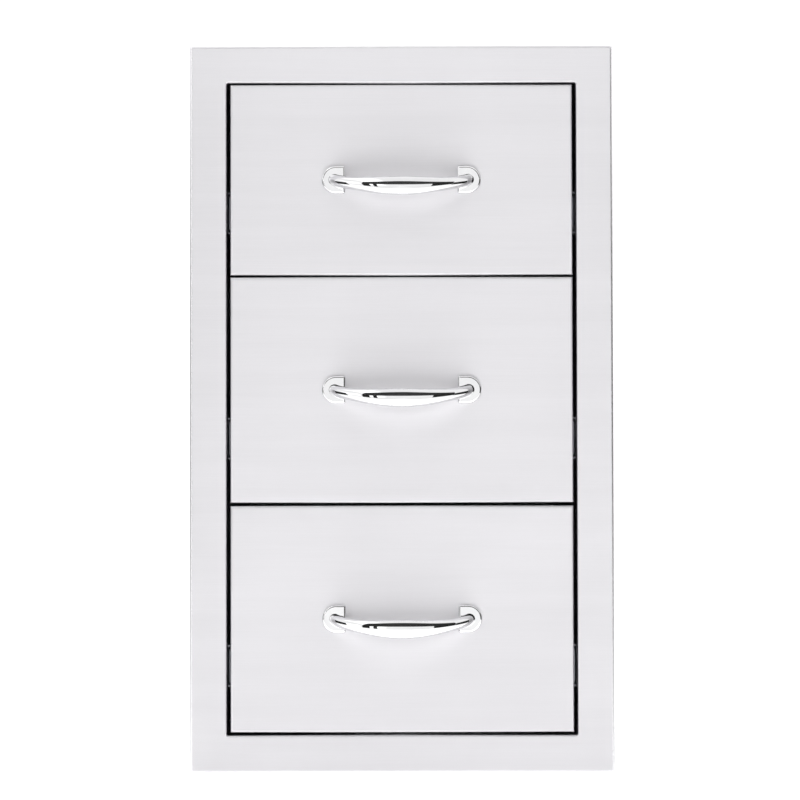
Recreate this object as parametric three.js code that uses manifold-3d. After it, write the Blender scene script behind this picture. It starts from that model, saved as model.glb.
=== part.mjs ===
// Built-in outdoor kitchen drawer unit: a flanged stainless face frame, a folded sheet-metal box behind it,
// and three drawers with double-wall fronts and bow handles, each on a pair of full-extension ball-bearing
// rails. Units are millimetres. X runs to the right, Y into the wall and Z up. The origin is the centre of
// the wall cut-out, in the plane of the wall's face, so the flange and the fronts stand at negative Y.
import * as THREE from "three";
import { mergeVertices } from "three/addons/utils/BufferGeometryUtils.js";
import Module from "manifold-3d";

const wasm = await Module();
wasm.setup();

// Clearances
const seatGap = 0.3; // between pieces that rest on each other
const overrun = 5; // how far a cutting tool runs past what it cuts
const weldTolerance = 1e-4; // corners closer than this are one corner

// Face frame
const unitWidth = 432;
const unitHeight = 740.5;
const flangeWidth = 37.6;
const flangeDepth = 12;
const flangeLip = 9; // turned in behind the outer edge, against the wall
const frameReturn = 16; // how far the opening's edge runs back into the box
const frameSheet = 1.2;
const frameBend = 2; // outside radius of the frame's folds
const flangeCorner = 1; // radius of the flange's outer corners
const openingCorner = 4.5; // radius of the opening's corners
const tightCorner = 0.3; // least radius inside a folded corner

// Box behind the wall
const rearSpace = 34; // behind the rails, which makes the box 508 deep
const panelSheet = 1;
const panelBend = 1.6;
const rearReturn = 15;
const lidFlange = 14;
const installHoleRadius = 2.8;
const installHoleInset = 30; // from the wall plane
const installHoleShares = [0.9, 0.27, -0.45, -0.93]; // heights, as shares of half the box height

// Drawer fronts, from the top down, and the dark gaps round them. The middle and the lower front share what
// the upper one leaves.
const upperFrontHeight = 194.8;
const sideGap = 3.6;
const upperGap = 2.1; // over and under the upper front
const lowerGap = 3.25; // under the middle and the lower front
const frontDepth = 18;
const frontSheet = 1;
const frontBend = 2;
const frontLip = 9;
const linerInset = 3;
const linerRim = 4;

// Drawer trays
const railTail = 4.4; // from a tray's rear to the rails' rear ends
const traySheet = 0.9;
const trayBend = 2;
const trayLift = 11; // from the front's lower edge to the tray's floor
const trayDrop = 34; // from the front's upper edge to the tray's rim
const trayFloorInset = 6;
const hemRadius = 1.4;
const hemDrop = 7;

// Rails
const railLength = 457;
const railHeight = 45;
const railSheet = 1.2;
const railCorner = 1.2;
const railSetback = 1; // behind the frame's return
const railLift = 55; // from the tray's floor to the rail's middle
const ballRadius = 1.8;
const ballClearance = 0.3;
const outerBallStandoff = 2; // from the carrier rail's web to the middle of the outer balls
const innerBallStandoff = 4.5; // from the middle of the inner balls to the drawer
const rowTilt = 34; // degrees from upright, of the line from an inner ball to the outer ball over it
const cageLength = 190;
const cageSheet = 0.6;
const cageClearance = 0.4; // between a cage's web and the carrier rail's web
const cageCorner = 0.8;
const cageOverhang = 1.7; // past the middle of the balls
const ballsPerRow = 3;
const stopThickness = 5;
const stopDepth = 7;
const stopHeight = 30;
const stopCorner = 2;
const railHoleRadius = 2.4;
const railHoleShares = [0.08, 0.45, 0.9]; // along a rail's length
const accessHoleRadius = 5;

// Bow handles
const handleHalfSpan = 68.5;
const handleRise = 34;
const handleDroop = 15.5; // degrees that the bow hangs down from its feet
const barLean = 8; // degrees that the bar's section leans down
const barEndHalfHeight = 6.3;
const barMidHalfHeight = 9.6;
const barEndHalfDepth = 6.2;
const barMidHalfDepth = 6;
const bowPower = 1.4; // over 1 rounds the bow's shoulders
const swellPower = 5.5; // how late the bar swells towards its middle
const footRadius = 14.3;
const footInset = 1.5; // of a foot's round end, from the end of the bow
const footTail = 9.7; // from there to the foot's straight inner edge
const footThickness = 3;
const footRound = 2.4;
const screwInset = 2; // from the end of the bow
const screwRadius = 2;
const screwBite = 7;
const screwHeadRadius = 4;
const screwHeadHeight = 2.2;

// Facets
const bendSteps = 3;
const raceSteps = 3;
const cageSteps = 1;
const cornerSteps = 3;
const barStations = 20;
const barSides = 12;
const screwSides = 8;
const holeSides = 8;
const ballSides = 5;
const ballBands = 3;
const footSteps = 8;

// Places that follow from the sizes above
const half = (size) => size / 2;
const openingHalfWidth = half(unitWidth) - flangeWidth;
const openingHalfHeight = half(unitHeight) - flangeWidth;
const faceY = -flangeDepth;
const wallInside = openingHalfWidth + frameSheet + seatGap;
const wallOutside = wallInside + panelSheet;
const lidInside = openingHalfHeight + frameSheet + seatGap;
const lidOutside = lidInside + panelSheet;
const railWall = wallInside - seatGap; // the plane that the cabinet rails lie on
const railStart = frameReturn + railSetback;
const boxDepth = railStart + railLength + rearSpace;
const frontWidth = 2 * (openingHalfWidth - sideGap);
const frontBack = faceY + frontDepth;
const linerFront = frontBack + seatGap;
const trayFront = linerFront + frontSheet + seatGap;
const trayDepth = railStart + railLength - railTail - trayFront;
const handleScrewOffset = handleHalfSpan - screwInset;

// The balls run between race arcs of the rails' folded edges: an outer row between the cabinet rail and the
// carrier rail, and an inner row between the carrier rail and the drawer rail. The two arcs of the carrier
// rail meet in an S, so their centres are two race radii apart. Offsets run from the box's wall inwards.
const raceRadius = ballRadius + ballClearance + half(railSheet);
const carrierWeb = railSheet + 2 * cageClearance + cageSheet + half(railSheet);
const cageSpacing = half(railSheet) + cageClearance + half(cageSheet);
const outerCageWeb = carrierWeb - cageSpacing;
const innerCageWeb = carrierWeb + cageSpacing;
const tilt = THREE.MathUtils.degToRad(rowTilt);
const outerBall = [carrierWeb + outerBallStandoff, half(railHeight) - half(railSheet) - raceRadius];
const innerBall = [
  outerBall[0] + 2 * raceRadius * Math.sin(tilt),
  outerBall[1] - 2 * raceRadius * Math.cos(tilt),
];
const railDepth = innerBall[0] + innerBallStandoff; // about 12.7
const trayHalfWidth = railWall - railDepth - seatGap;

// Points along an arc, both ends included, as [a, b] pairs; angles in degrees.
function arc(a, b, radius, from, to, steps) {
  return Array.from({ length: steps + 1 }, (_, i) => {
    const angle = THREE.MathUtils.degToRad(from + ((to - from) * i) / steps);
    return [a + radius * Math.cos(angle), b + radius * Math.sin(angle)];
  });
}

// The path through some corners, with each corner between the ends rounded to the radius.
function rounded(corners, radius) {
  const points = corners.map(([a, b]) => new THREE.Vector2(a, b));
  const path = [corners[0]];
  for (let i = 1; i < points.length - 1; i++) {
    const back = points[i - 1].clone().sub(points[i]).normalize();
    const ahead = points[i + 1].clone().sub(points[i]).normalize();
    const halfTurn = Math.acos(THREE.MathUtils.clamp(back.dot(ahead), -1, 1)) / 2;
    const centre = back.clone().add(ahead).normalize().multiplyScalar(radius / Math.sin(halfTurn));
    centre.add(points[i]);
    const from = points[i].clone().addScaledVector(back, radius / Math.tan(halfTurn)).sub(centre);
    const to = points[i].clone().addScaledVector(ahead, radius / Math.tan(halfTurn)).sub(centre);
    const sweep = Math.atan2(from.cross(to), from.dot(to));
    for (let step = 0; step <= bendSteps; step++) {
      const turned = from.clone().rotateAround(new THREE.Vector2(), (sweep * step) / bendSteps);
      path.push([centre.x + turned.x, centre.y + turned.y]);
    }
  }
  path.push(corners[corners.length - 1]);
  return path;
}

// The outline of a bent sheet whose middle surface follows the path: out on one side, back on the other.
function sheetOutline(path, thickness) {
  const points = path.map(([a, b]) => new THREE.Vector2(a, b));
  const normal = (from, to) => {
    const along = to.clone().sub(from).normalize();
    return new THREE.Vector2(-along.y, along.x);
  };
  const offsets = points.map((point, i) => {
    const before = i > 0 ? normal(points[i - 1], point) : normal(point, points[i + 1]);
    const after = i < points.length - 1 ? normal(point, points[i + 1]) : before;
    const miter = before.clone().add(after).normalize();
    return miter.multiplyScalar(half(thickness) / miter.dot(after));
  });
  const side = (sign) => points.map((p, i) => [p.x + sign * offsets[i].x, p.y + sign * offsets[i].y]);
  return [...side(1), ...side(-1).reverse()];
}

// An outline and its mirror image below the first axis, joined into one path.
function mirroredDown(path) {
  return [...path, ...path.map(([a, b]) => [a, -b]).reverse()];
}

// A geometry from corner points and triangles, turned so that its faces point out.
function closedGeometry(points, triangles) {
  const geometry = new THREE.BufferGeometry();
  geometry.setAttribute("position", new THREE.Float32BufferAttribute(points.flat(), 3));
  const vectors = points.map((p) => new THREE.Vector3(...p));
  const volume = triangles.reduce(
    (sum, [i, j, k]) => sum + vectors[i].dot(vectors[j].clone().cross(vectors[k])),
    0,
  );
  geometry.setIndex((volume < 0 ? triangles.map(([i, j, k]) => [i, k, j]) : triangles).flat());
  return geometry;
}

// A stack of rings with the same number of points, joined by quads, and capped or closed on itself.
function ringLoft(rings, capped) {
  const sides = rings[0].length;
  const triangles = [];
  const joints = capped ? rings.length - 1 : rings.length;
  for (let r = 0; r < joints; r++) {
    const here = r * sides;
    const next = ((r + 1) % rings.length) * sides;
    for (let s = 0; s < sides; s++) {
      const t = (s + 1) % sides;
      triangles.push([here + s, here + t, next + t], [here + s, next + t, next + s]);
    }
  }
  if (capped) {
    const last = (rings.length - 1) * sides;
    for (let s = 1; s < sides - 1; s++) {
      triangles.push([0, s + 1, s], [last, last + s, last + s + 1]);
    }
  }
  return closedGeometry(rings.flat(), triangles);
}

// A rectangle's corners, in turn, each rounded to the radius where one is given.
function rectangle(halfWidth, halfLength, radius) {
  const signs = [[1, 1], [-1, 1], [-1, -1], [1, -1]];
  return signs.flatMap(([p, q], quarter) => {
    if (!radius) {
      return [[p * halfWidth, q * halfLength]];
    }
    const centre = [p * (halfWidth - radius), q * (halfLength - radius)];
    return arc(...centre, radius, 90 * quarter, 90 * (quarter + 1), cornerSteps);
  });
}

// A folded rectangle of sheet: each outline point is [inset, level], a rectangle drawn in by its inset.
// Levels run along Y, or along Z where upright is set. Capped makes a pan, and otherwise it is an open frame.
// Corner radius is a function of the inset, and corners are sharp without it.
function foldedRectangle(outline, halfWidth, halfLength, options = {}) {
  const { capped = true, upright = false, cornerRadius } = options;
  const rings = outline.map(([inset, level]) => {
    const radius = cornerRadius ? cornerRadius(inset) : 0;
    const corners = rectangle(halfWidth - inset, halfLength - inset, radius);
    return corners.map(([p, q]) => (upright ? [p, q, level] : [p, level, q]));
  });
  return ringLoft(rings, capped);
}

// An outline of [x, z] points, drawn out along Y.
function alongY(outline, from, to) {
  const shape = new THREE.Shape(outline.map(([x, z]) => new THREE.Vector2(x, z)));
  const geometry = new THREE.ExtrudeGeometry(shape, { depth: to - from, bevelEnabled: false });
  return geometry.rotateX(Math.PI / 2).translate(0, to, 0);
}

// An outline of [x, y] points, drawn up along Z about the middle.
function alongZ(outline, height) {
  const shape = new THREE.Shape(outline.map(([x, y]) => new THREE.Vector2(x, y)));
  const geometry = new THREE.ExtrudeGeometry(shape, { depth: height, bevelEnabled: false });
  return geometry.translate(0, 0, -half(height));
}

function rodAlongX(radius, from, to, y, z, sides = holeSides) {
  const geometry = new THREE.CylinderGeometry(radius, radius, to - from, sides);
  return geometry.rotateZ(Math.PI / 2).translate(half(from + to), y, z);
}

function rodAlongY(radius, from, to, x, z, sides = holeSides) {
  const geometry = new THREE.CylinderGeometry(radius, radius, to - from, sides);
  return geometry.translate(x, half(from + to), z);
}

function block(fromX, toX, fromY, toY, fromZ, toZ) {
  const geometry = new THREE.BoxGeometry(toX - fromX, toY - fromY, toZ - fromZ);
  return geometry.translate(half(fromX + toX), half(fromY + toY), half(fromZ + toZ));
}

// Boolean joins and cuts, on closed geometries.
function solid(geometry) {
  const bare = geometry.clone();
  bare.deleteAttribute("normal");
  bare.deleteAttribute("uv");
  const merged = mergeVertices(bare, weldTolerance);
  const triVerts = new Uint32Array(merged.index.array);
  const vertProperties = merged.attributes.position.array;
  return new wasm.Manifold(new wasm.Mesh({ numProp: 3, vertProperties, triVerts }));
}

function surface(manifold) {
  const mesh = manifold.getMesh();
  const geometry = new THREE.BufferGeometry();
  geometry.setAttribute("position", new THREE.BufferAttribute(mesh.vertProperties, 3));
  geometry.setIndex(new THREE.BufferAttribute(mesh.triVerts, 1));
  return geometry;
}

function cut(geometry, tools) {
  return surface(tools.reduce((body, tool) => body.subtract(solid(tool)), solid(geometry)));
}

function join(geometry, others) {
  return surface(others.reduce((body, other) => body.add(solid(other)), solid(geometry)));
}

// Materials
const steel = new THREE.MeshStandardMaterial({ color: 0xd2d2d4, roughness: 0.34, metalness: 1 });
const innerSteel = new THREE.MeshStandardMaterial({ color: 0xc4c4c6, roughness: 0.4, metalness: 1 });
const railSteel = new THREE.MeshStandardMaterial({ color: 0xb8bbc0, roughness: 0.3, metalness: 1 });
const cageSteel = new THREE.MeshStandardMaterial({ color: 0x9a9da2, roughness: 0.35, metalness: 1 });
const chrome = new THREE.MeshStandardMaterial({ color: 0xe8e9eb, roughness: 0.06, metalness: 1 });
const rubber = new THREE.MeshStandardMaterial({ color: 0x1d1d1f, roughness: 0.8, metalness: 0 });

const drawerUnit = new THREE.Group();

function add(parent, name, geometry, material) {
  const mesh = new THREE.Mesh(geometry, material);
  mesh.name = name;
  parent.add(mesh);
  return mesh;
}

// The flange, its turned-in outer lip and the return that lines the opening, folded from one sheet.
function faceFrame() {
  const middle = half(frameSheet);
  const path = rounded(
    [
      [flangeLip, -middle],
      [middle, -middle],
      [middle, faceY + middle],
      [flangeWidth - middle, faceY + middle],
      [flangeWidth - middle, frameReturn],
    ],
    frameBend - middle,
  );
  const cornerRadius = (inset) =>
    inset > half(flangeWidth)
      ? openingCorner + flangeWidth - inset
      : Math.max(flangeCorner - inset, tightCorner);
  const outline = sheetOutline(path, frameSheet);
  return foldedRectangle(outline, half(unitWidth), half(unitHeight), { capped: false, cornerRadius });
}

// A side of the box, with its rear edge turned in behind the drawers. Side is 1 on the right, -1 on the left.
function sidePanel(side) {
  const middle = wallInside + half(panelSheet);
  const rear = boxDepth - panelSheet - seatGap - half(panelSheet);
  const path = rounded(
    [
      [middle, seatGap],
      [middle, rear],
      [wallOutside - rearReturn, rear],
    ],
    panelBend - half(panelSheet),
  );
  const outline = sheetOutline(path, panelSheet).map(([x, y]) => [side * x, y]);
  const holes = installHoleShares.map((share) => {
    const ends = [side * (wallInside - overrun), side * (wallOutside + overrun)].sort((a, b) => a - b);
    return rodAlongX(installHoleRadius, ...ends, installHoleInset, share * lidInside);
  });
  return cut(alongZ(outline, 2 * lidOutside), holes);
}

// The box's top or bottom, a channel with its side edges turned in, notched at the front round the frame.
function lidPanel(side) {
  const level = lidInside + half(panelSheet);
  const edge = wallInside - seatGap - half(panelSheet);
  const path = rounded(
    [
      [-edge, level - lidFlange],
      [-edge, level],
      [edge, level],
      [edge, level - lidFlange],
    ],
    panelBend - half(panelSheet),
  );
  const outline = sheetOutline(path, panelSheet).map(([x, z]) => [x, side * z]);
  const rear = boxDepth - 2 * (panelSheet + seatGap);
  const notchSide = openingHalfWidth - seatGap;
  const notches = [-1, 1].map((hand) => {
    const [from, to] = [hand * notchSide, hand * (wallOutside + overrun)].sort((a, b) => a - b);
    const [low, high] = [side * (lidInside - lidFlange - overrun), side * (lidOutside + overrun)].sort(
      (a, b) => a - b,
    );
    return block(from, to, -overrun, frameReturn + seatGap, low, high);
  });
  return cut(alongY(outline, seatGap, rear), notches);
}

function rearPanel() {
  return block(-wallOutside, wallOutside, boxDepth - panelSheet, boxDepth, -lidOutside, lidOutside);
}

add(drawerUnit, "face_frame", faceFrame(), steel);
add(drawerUnit, "left_side_panel", sidePanel(-1), innerSteel);
add(drawerUnit, "right_side_panel", sidePanel(1), innerSteel);
add(drawerUnit, "top_panel", lidPanel(1), innerSteel);
add(drawerUnit, "bottom_panel", lidPanel(-1), innerSteel);
add(drawerUnit, "rear_panel", rearPanel(), innerSteel);

// Where the race arcs start and end round their balls, in degrees.
const cabinetLipAngle = 20;
const cabinetFlangeAngle = 150;
const carrierLipAngle = 40;
const meetingAngle = 90 + rowTilt;
const carrierWebAngle = 240;
const drawerLipAngle = 215;
const drawerFlangeAngle = 300;

// Rail sections are [offset, height] paths.
function cabinetRailSection() {
  const web = half(railSheet);
  const hook = arc(...outerBall, raceRadius, cabinetLipAngle, cabinetFlangeAngle, raceSteps);
  const shoulder = hook[hook.length - 1][1];
  const corner = arc(web + railCorner, shoulder - railCorner, railCorner, 90, 180, bendSteps);
  return mirroredDown([...hook, ...corner]);
}

function carrierRailSection() {
  const hook = arc(...innerBall, raceRadius, carrierLipAngle, meetingAngle, raceSteps);
  const groove = arc(...outerBall, raceRadius, meetingAngle + 180, carrierWebAngle, bendSteps);
  const [grooveEnd, grooveHeight] = groove[groove.length - 1];
  const shoulder = [carrierWeb, grooveHeight - (grooveEnd - carrierWeb)];
  return mirroredDown([...hook, ...groove.slice(1), shoulder]);
}

function drawerRailSection() {
  const web = railDepth - half(railSheet);
  const groove = arc(...innerBall, raceRadius, drawerLipAngle, drawerFlangeAngle, raceSteps);
  const shoulder = groove[groove.length - 1][1];
  const corner = arc(web - railCorner, shoulder - railCorner, railCorner, 90, 0, bendSteps);
  return mirroredDown([...groove, ...corner]);
}

function cageSection([ballOffset, ballHeight], web) {
  const corner = arc(web + cageCorner, ballHeight - cageCorner, cageCorner, 90, 180, cageSteps);
  return mirroredDown([[ballOffset + cageOverhang, ballHeight], ...corner]);
}

// A rail section as an [x, z] outline on one side of the box.
function railOutline(section, sheet, side) {
  return sheetOutline(section, sheet).map(([offset, height]) => [side * (railWall - offset), height]);
}

function rail(section, side, length, holeRadius) {
  const ends = [side * (railWall - railDepth - overrun), side * (railWall + overrun)].sort((a, b) => a - b);
  const holes = railHoleShares.map((share) =>
    rodAlongX(holeRadius, ...ends, railStart + share * railLength, 0),
  );
  return cut(alongY(railOutline(section, railSheet, side), railStart, railStart + length), holes);
}

// A ball cage with its two rows of balls, in the middle of the rails' length.
function ballCage(row, web, side) {
  const from = railStart + half(railLength - cageLength);
  const strip = alongY(railOutline(cageSection(row, web), cageSheet, side), from, from + cageLength);
  const pitch = cageLength / ballsPerRow;
  const [offset, height] = row;
  const balls = [];
  for (let i = 0; i < ballsPerRow; i++) {
    for (const edge of [-1, 1]) {
      const place = [side * (railWall - offset), from + (i + 1 / 2) * pitch, edge * height];
      const ball = new THREE.SphereGeometry(ballRadius, ballSides, ballBands);
      balls.push(ball.rotateX(Math.PI / 2).translate(...place));
    }
  }
  return join(strip, balls);
}

// The rubber buffer in the rear end of a cabinet rail, which the carrier rail closes against.
function railStop(side) {
  const near = railSheet + seatGap;
  const path = new THREE.Shape();
  const corners = rounded(
    [
      [near, 0],
      [near, half(stopHeight)],
      [near + stopDepth, half(stopHeight)],
      [near + stopDepth, 0],
    ],
    stopCorner,
  );
  const outline = [...corners, ...corners.slice(1, -1).map(([a, b]) => [a, -b]).reverse()];
  path.setFromPoints(outline.map(([a, b]) => new THREE.Vector2(side * (railWall - a), b)));
  const from = railStart + railLength + seatGap;
  const geometry = new THREE.ExtrudeGeometry(path, { depth: stopThickness, bevelEnabled: false });
  return geometry.rotateX(Math.PI / 2).translate(0, from + stopThickness, 0);
}

// The outer skin of a drawer front, a pan open to the rear with its edges turned in.
function frontSkin(height) {
  const middle = half(frontSheet);
  const path = rounded(
    [
      [frontLip, faceY + middle],
      [middle, faceY + middle],
      [middle, frontBack - middle],
      [frontLip, frontBack - middle],
    ],
    frontBend - middle,
  );
  const outline = sheetOutline(path, frontSheet);
  const pan = foldedRectangle(outline, half(frontWidth), half(height));
  return cut(pan, handleHoles(faceY - overrun, frontBack + overrun));
}

// The inner wall of a drawer front, with a rim turned to the rear.
function frontLiner(height) {
  const middle = half(frontSheet);
  const path = rounded(
    [
      [frontLip, linerFront + middle],
      [middle, linerFront + middle],
      [middle, linerFront + linerRim],
    ],
    frontBend - middle,
  );
  const outline = sheetOutline(path, frontSheet);
  const pan = foldedRectangle(outline, half(frontWidth) - linerInset, half(height) - linerInset);
  return cut(pan, handleHoles(faceY - overrun, trayFront + overrun));
}

// The drawer's tray, with its rim hemmed inwards.
function tray(height) {
  const middle = half(traySheet);
  const rimLevel = height - hemRadius - middle;
  const wall = rounded(
    [
      [trayFloorInset, middle],
      [middle, middle],
      [middle, rimLevel],
    ],
    trayBend - middle,
  );
  const hem = arc(middle + hemRadius, rimLevel, hemRadius, 180, 0, raceSteps);
  const path = [...wall.slice(0, -1), ...hem, [middle + 2 * hemRadius, rimLevel - hemDrop]];
  const outline = sheetOutline(path, traySheet);
  const body = foldedRectangle(outline, trayHalfWidth, half(trayDepth), { upright: true });
  body.translate(0, trayFront + half(trayDepth), 0);
  return body;
}

function handleHoles(from, to) {
  return [-1, 1].map((side) =>
    rodAlongY(screwRadius + seatGap, from, to, side * handleScrewOffset, 0),
  );
}

// The bow of a handle: oval rings along an arch that hangs down by the droop. They swell towards its middle.
function handleBar() {
  const droop = THREE.MathUtils.degToRad(handleDroop);
  const lean = THREE.MathUtils.degToRad(barLean);
  const out = new THREE.Vector3(0, -Math.cos(droop), -Math.sin(droop));
  const facing = new THREE.Vector3(0, -Math.cos(lean), -Math.sin(lean));
  const up = new THREE.Vector3(0, -Math.sin(lean), Math.cos(lean));
  const across = new THREE.Vector3(1, 0, 0);
  const rings = [];
  for (let station = 0; station <= barStations; station++) {
    const angle = (Math.PI * station) / barStations;
    const sine = Math.sin(angle);
    const centre = across.clone().multiplyScalar(handleHalfSpan * Math.cos(angle));
    centre.addScaledVector(out, handleRise * sine ** bowPower);
    const climb = bowPower * handleRise * Math.cos(angle);
    const run = handleHalfSpan * sine ** (2 - bowPower);
    const tangent = new THREE.Vector2(-run, climb).normalize();
    const swell = sine ** swellPower;
    const halfHeight = THREE.MathUtils.lerp(barEndHalfHeight, barMidHalfHeight, swell);
    const halfDepth = THREE.MathUtils.lerp(barEndHalfDepth, barMidHalfDepth, swell);
    const inward = across.clone().multiplyScalar(-tangent.y).addScaledVector(facing, tangent.x);
    const ring = [];
    for (let s = 0; s < barSides; s++) {
      const turn = (2 * Math.PI * s) / barSides;
      const point = centre.clone().addScaledVector(inward, halfDepth * Math.cos(turn));
      ring.push(point.addScaledVector(up, halfHeight * Math.sin(turn)).toArray());
    }
    rings.push(ring);
  }
  return ringLoft(rings, true);
}

// A foot of a handle: a plate with a half-round outer end and a straight inner edge, rounded at its front.
function handleFoot(side) {
  const footCentre = handleHalfSpan - footInset;
  const footCut = footCentre - footTail;
  const shape = new THREE.Shape();
  shape.moveTo(footCut, -footRadius);
  shape.lineTo(footCentre, -footRadius);
  shape.absarc(footCentre, 0, footRadius, -Math.PI / 2, Math.PI / 2);
  shape.lineTo(footCut, footRadius);
  shape.closePath();
  const geometry = new THREE.ExtrudeGeometry(shape, {
    depth: footThickness,
    bevelThickness: footRound,
    bevelSize: footRound,
    bevelOffset: -footRound,
    bevelSegments: 2,
    curveSegments: footSteps,
  });
  geometry.rotateX(Math.PI / 2).translate(0, footRound, 0);
  return side > 0 ? geometry : geometry.rotateY(Math.PI);
}

// A handle with its back at Y zero, cut flat there and drilled for its screws.
function handle() {
  const reach = handleHalfSpan + footRadius;
  const behind = block(-reach, reach, 0, overrun + barMidHalfHeight, -reach, reach);
  const whole = join(handleBar(), [handleFoot(-1), handleFoot(1)]);
  return cut(whole, [behind, ...handleHoles(-screwBite, overrun)]);
}

// A pan-head screw through the tray, the liner and the skin into a foot of the handle.
function handleScrew() {
  const seat = trayFront + traySheet + seatGap;
  const tip = faceY - seatGap - screwBite + seatGap;
  const profile = [
    [0, tip],
    [screwRadius, tip],
    [screwRadius, seat],
    [screwHeadRadius, seat],
    [screwHeadRadius, seat + half(screwHeadHeight)],
    [half(screwHeadRadius), seat + screwHeadHeight],
    [0, seat + screwHeadHeight],
  ];
  return new THREE.LatheGeometry(
    profile.map(([radius, y]) => new THREE.Vector2(radius, y)),
    screwSides,
  );
}

// One drawer with its rails, in a group whose origin is level with the middle of the front.
function drawer(level, height) {
  const group = new THREE.Group();
  const trayHeight = height - trayLift - trayDrop;
  const trayFloor = -half(height) + trayLift;
  add(group, `${level}_front_skin`, frontSkin(height), steel);
  add(group, `${level}_front_liner`, frontLiner(height), innerSteel);
  const body = tray(trayHeight).translate(0, 0, trayFloor);
  const holes = handleHoles(trayFront - overrun, trayFront + overrun);
  add(group, `${level}_tray`, cut(body, holes), innerSteel);
  add(group, `${level}_handle`, handle(), chrome).position.y = faceY - seatGap;
  for (const [name, side] of [["left", -1], ["right", 1]]) {
    const screw = add(group, `${level}_${name}_handle_screw`, handleScrew(), chrome);
    screw.position.x = side * handleScrewOffset;
    const rails = new THREE.Group();
    rails.position.z = trayFloor + railLift;
    const cabinetLength = railLength + seatGap + stopThickness;
    const outer = rail(cabinetRailSection(), side, cabinetLength, railHoleRadius);
    const carrier = rail(carrierRailSection(), side, railLength, accessHoleRadius);
    const inner = rail(drawerRailSection(), side, railLength, railHoleRadius);
    add(rails, `${level}_${name}_cabinet_rail`, outer, railSteel);
    add(rails, `${level}_${name}_carrier_rail`, carrier, railSteel);
    add(rails, `${level}_${name}_drawer_rail`, inner, railSteel);
    add(rails, `${level}_${name}_outer_ball_cage`, ballCage(outerBall, outerCageWeb, side), cageSteel);
    add(rails, `${level}_${name}_inner_ball_cage`, ballCage(innerBall, innerCageWeb, side), cageSteel);
    add(rails, `${level}_${name}_rail_stop`, railStop(side), rubber);
    group.add(rails);
  }
  return group;
}

// The drawers, stacked down from the opening's upper edge.
const lowerFrontsHeight = 2 * (openingHalfHeight - upperGap - lowerGap) - upperFrontHeight;
const lowerFrontHeight = half(lowerFrontsHeight);
let frontTop = openingHalfHeight - upperGap;
const levels = [
  ["upper", upperFrontHeight, upperGap],
  ["middle", lowerFrontHeight, lowerGap],
  ["lower", lowerFrontHeight, lowerGap],
];
for (const [level, height, gapUnder] of levels) {
  const group = drawer(level, height);
  group.position.z = frontTop - half(height);
  drawerUnit.add(group);
  frontTop -= height + gapUnder;
}

export default drawerUnit;
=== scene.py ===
"""Dresses the built-in drawer unit: fine sheet metal, bow handles, ball-bearing runners and their finishes.

Lengths are metres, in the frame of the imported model: X to the right, Y into the wall, Z up.
"""

import logging
import math
from collections.abc import Callable, Sequence
from dataclasses import dataclass, field
from enum import Enum

import bmesh
import bpy
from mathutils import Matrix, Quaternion, Vector


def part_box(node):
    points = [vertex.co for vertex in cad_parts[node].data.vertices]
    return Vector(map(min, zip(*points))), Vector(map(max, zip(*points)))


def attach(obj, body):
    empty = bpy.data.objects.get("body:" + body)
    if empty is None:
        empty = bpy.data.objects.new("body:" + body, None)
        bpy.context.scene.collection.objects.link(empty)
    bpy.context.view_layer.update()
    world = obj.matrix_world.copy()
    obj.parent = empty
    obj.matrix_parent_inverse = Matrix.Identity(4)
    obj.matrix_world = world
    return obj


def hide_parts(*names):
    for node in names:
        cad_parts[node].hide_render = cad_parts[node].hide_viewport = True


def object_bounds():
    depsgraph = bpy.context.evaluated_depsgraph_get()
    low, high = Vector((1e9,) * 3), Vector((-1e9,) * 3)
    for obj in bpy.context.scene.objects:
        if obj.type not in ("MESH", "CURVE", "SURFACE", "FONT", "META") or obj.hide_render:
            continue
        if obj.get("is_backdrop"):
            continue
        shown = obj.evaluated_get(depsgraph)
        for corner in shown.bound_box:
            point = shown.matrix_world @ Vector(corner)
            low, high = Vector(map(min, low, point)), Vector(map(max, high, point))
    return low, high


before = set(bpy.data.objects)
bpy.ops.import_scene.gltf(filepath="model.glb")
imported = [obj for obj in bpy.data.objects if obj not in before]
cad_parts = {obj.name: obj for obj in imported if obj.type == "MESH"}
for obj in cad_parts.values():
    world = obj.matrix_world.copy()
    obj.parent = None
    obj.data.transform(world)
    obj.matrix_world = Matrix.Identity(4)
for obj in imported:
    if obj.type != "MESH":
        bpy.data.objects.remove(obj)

MM = 0.001
TAU = 2 * math.pi
SHARP_EDGE = math.radians(35)
WELD_GAP = 1e-7
# The Mix node's inputs and, last, its output, by number, as it has them for colours.
MIX_FACTOR, MIX_FIRST, MIX_SECOND, MIX_COLOUR = 0, 6, 7, 2

Pair = tuple[float, float]
Place = tuple[float, float, float]
Colour = tuple[float, float, float]

log = logging.getLogger("drawer_unit")


class Side(Enum):
    """The unit's two sides, with the sign of their X."""

    LEFT = -1
    RIGHT = 1

    @property
    def word(self) -> str:
        """The side's name as node names have it."""
        return self.name.lower()


class Level(Enum):
    """The three drawers, from the top down."""

    UPPER = "upper"
    MIDDLE = "middle"
    LOWER = "lower"

    def named(self, thing: str) -> str:
        """The name of this drawer's node or body of a kind."""
        return f"{self.value}_{thing}"


class Grain(Enum):
    """The way that a sheet's brushing runs: 1 on its axis, 0 on the others."""

    ACROSS = (1, 0, 0)
    INWARD = (0, 1, 0)
    UPRIGHT = (0, 0, 1)

    def cells(self, along: float, over: float) -> list[float]:
        """Noise cells per metre on X, Y and Z, given those along the grain and those over it."""
        return [along if runs else over for runs in self.value]


class Slot(Enum):
    """The record's material slots."""

    BRUSHED = "brushed_steel"
    PLAIN = "plain_steel"
    CHROME = "chrome"
    SCREW = "screw_steel"
    RAIL = "rail_steel"
    CAGE = "cage_steel"
    RUBBER = "rubber"


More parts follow.
